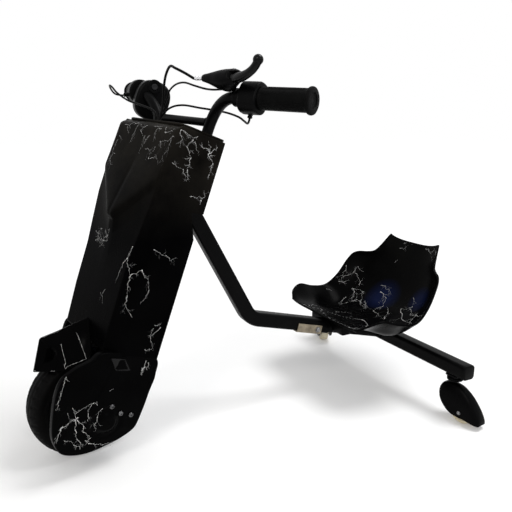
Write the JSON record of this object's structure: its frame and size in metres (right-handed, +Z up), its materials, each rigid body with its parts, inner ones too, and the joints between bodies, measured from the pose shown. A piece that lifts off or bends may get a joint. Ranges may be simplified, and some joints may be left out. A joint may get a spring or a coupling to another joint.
{
  "type": "drift kart",
  "caption": "Ride-on drift kart with a driven front wheel under a tall fairing, a bucket seat on a bent tube frame and swivel casters behind.",
  "frame": {"origin": "on the floor, under the middle of the bounding box", "axes": "+Z up, the kart heads along -Y, the rider's left is +X"},
  "size_m": [0.5898, 0.8768, 0.6864],
  "materials": {
    "battery_wrap": "shrink-wrapped battery",
    "black_plastic": "black moulded plastic",
    "bright_steel": "bright plated steel",
    "cable_jacket": "black cable jacket",
    "cast_alloy": "cast alloy",
    "caster_hood_plastic": "black semi-gloss plastic",
    "chrome": "bright chrome",
    "clear_urethane": "pale translucent urethane",
    "grip_rubber": "soft black rubber",
    "lamp_lens": "dark clear lamp lens",
    "lever_coating": "black coated alloy",
    "matt_black_paint": "matt black powder coat on steel tube",
    "motor_shell": "black painted motor shell",
    "printed_gloss_shell": "gloss black plastic with a printed pale vein pattern",
    "red_button": "red button",
    "tyre_rubber": "black tyre rubber",
    "yellow_zinc_plate": "yellow zinc plated steel"
  },
  "bodies": {
    "front_wheel": {"front_tyre": "tyre_rubber", "hub_motor": "motor_shell"},
    "brake_lever": {"brake_lever": "lever_coating"},
    "throttle_grip": {"throttle_grip": "grip_rubber"},
    "horn_button": {"horn_button": "red_button"},
    "power_button": {"power_button": "chrome"},
    "caster_wheel_left": {"caster_wheel_left": "clear_urethane"},
    "caster_swivel_left": {"caster_bolt_left": "bright_steel", "caster_cup_left": "bright_steel", "caster_hood_left": "caster_hood_plastic"},
    "caster_wheel_right": {"caster_wheel_right": "clear_urethane"},
    "caster_swivel_right": {"caster_bolt_right": "bright_steel", "caster_cup_right": "bright_steel", "caster_hood_right": "caster_hood_plastic"},
    "frame": {"head_tube": "matt_black_paint", "main_frame_tube": "matt_black_paint", "sleeve_bolt_left": "bright_steel", "sleeve_bolt_right": "bright_steel", "sleeve_clamp": "yellow_zinc_plate"},
    "rear": {"bar_end_cap_left": "black_plastic", "bar_end_cap_right": "black_plastic", "rear_cross_bar": "matt_black_paint", "rear_slide_tube": "matt_black_paint", "seat_bracket": "matt_black_paint", "seat_shell": "printed_gloss_shell"},
    "steering": {"battery_pack": "battery_wrap", "brake_cable": "cable_jacket", "brake_perch": "black_plastic", "cable_adjuster": "chrome", "cover_bolt_left_1": "chrome", "cover_bolt_left_2": "chrome", "cover_bolt_left_3": "chrome", "cover_bolt_right_1": "chrome", "cover_bolt_right_2": "chrome", "display_box": "black_plastic", "fairing_top_panel": "printed_gloss_shell", "fork_tube_left": "matt_black_paint", "fork_tube_right": "matt_black_paint", "front_axle": "bright_steel", "front_fairing": "printed_gloss_shell", "front_fender": "printed_gloss_shell", "grip_left": "grip_rubber", "handlebar_crossbar": "matt_black_paint", "headlamp_lens_left": "lamp_lens", "headlamp_lens_right": "lamp_lens", "lever_pin": "bright_steel", "lower_bearing": "bright_steel", "lower_crown": "matt_black_paint", "motor_controller": "cast_alloy", "rear_cover": "printed_gloss_shell", "side_cover_left": "printed_gloss_shell", "side_cover_right": "printed_gloss_shell", "steerer_locknut": "bright_steel", "steerer_tube": "bright_steel", "switch_housing": "black_plastic", "switch_lead": "cable_jacket", "throttle_housing": "black_plastic", "throttle_lead": "cable_jacket", "upper_bearing": "bright_steel", "upper_crown": "matt_black_paint"}
  },
  "joints": [
    {"name": "steering_turn", "type": "hinge", "parent": "frame", "child": "steering", "pos_m": [-0.00067, -0.31093, 0.0902], "axis": [0, 0.3379, 0.9412], "range_deg": [-52, 28]},
    {"name": "front_wheel_spin", "type": "hinge", "parent": "steering", "child": "front_wheel", "pos_m": [0.00565, -0.33892, 0.10025], "axis": [0.9781, 0.1957, -0.0703], "continuous": true},
    {"name": "brake_lever_pull", "type": "hinge", "parent": "steering", "child": "brake_lever", "pos_m": [0.1742, -0.11322, 0.65543], "axis": [-0.0953, 0.2842, 0.954], "range_deg": [0, 20], "stiffness_Nm_per_rad": 0.4, "springref_deg": -17.19},
    {"name": "throttle_twist", "type": "hinge", "parent": "steering", "child": "throttle_grip", "pos_m": [-0.28414, -0.14133, 0.65831], "axis": [-0.9886, 0.1342, 0.0687], "range_deg": [0, 60], "stiffness_Nm_per_rad": 0.2, "springref_deg": -17.19},
    {"name": "horn_press", "type": "slide", "parent": "steering", "child": "horn_button", "axis": [0.4993, -0.8154, 0.2928], "range_m": [0, 0.002], "stiffness_N_per_m": 400, "springref_m": -0.002},
    {"name": "power_press", "type": "slide", "parent": "steering", "child": "power_button", "axis": [-0.9886, 0.1342, 0.0687], "range_m": [0, 0.002], "stiffness_N_per_m": 400, "springref_m": -0.002},
    {"name": "length_slide", "type": "slide", "parent": "frame", "child": "rear", "axis": [0, 0.969, -0.247], "range_m": [-0.012, 0.05]},
    {"name": "caster_swivel_turn_left", "type": "hinge", "parent": "rear", "child": "caster_swivel_left", "pos_m": [0.23133, 0.35046, 0.09221], "axis": [0, 0, 1], "continuous": true},
    {"name": "caster_wheel_spin_left", "type": "hinge", "parent": "caster_swivel_left", "child": "caster_wheel_left", "pos_m": [0.25595, 0.3548, 0.02548], "axis": [0.1736, -0.9848, 0], "continuous": true},
    {"name": "caster_swivel_turn_right", "type": "hinge", "parent": "rear", "child": "caster_swivel_right", "pos_m": [-0.23267, 0.35046, 0.09221], "axis": [0, 0, 1], "continuous": true},
    {"name": "caster_wheel_spin_right", "type": "hinge", "parent": "caster_swivel_right", "child": "caster_wheel_right", "pos_m": [-0.25533, 0.36102, 0.02548], "axis": [0.4226, 0.9063, 0], "continuous": true}
  ]
}
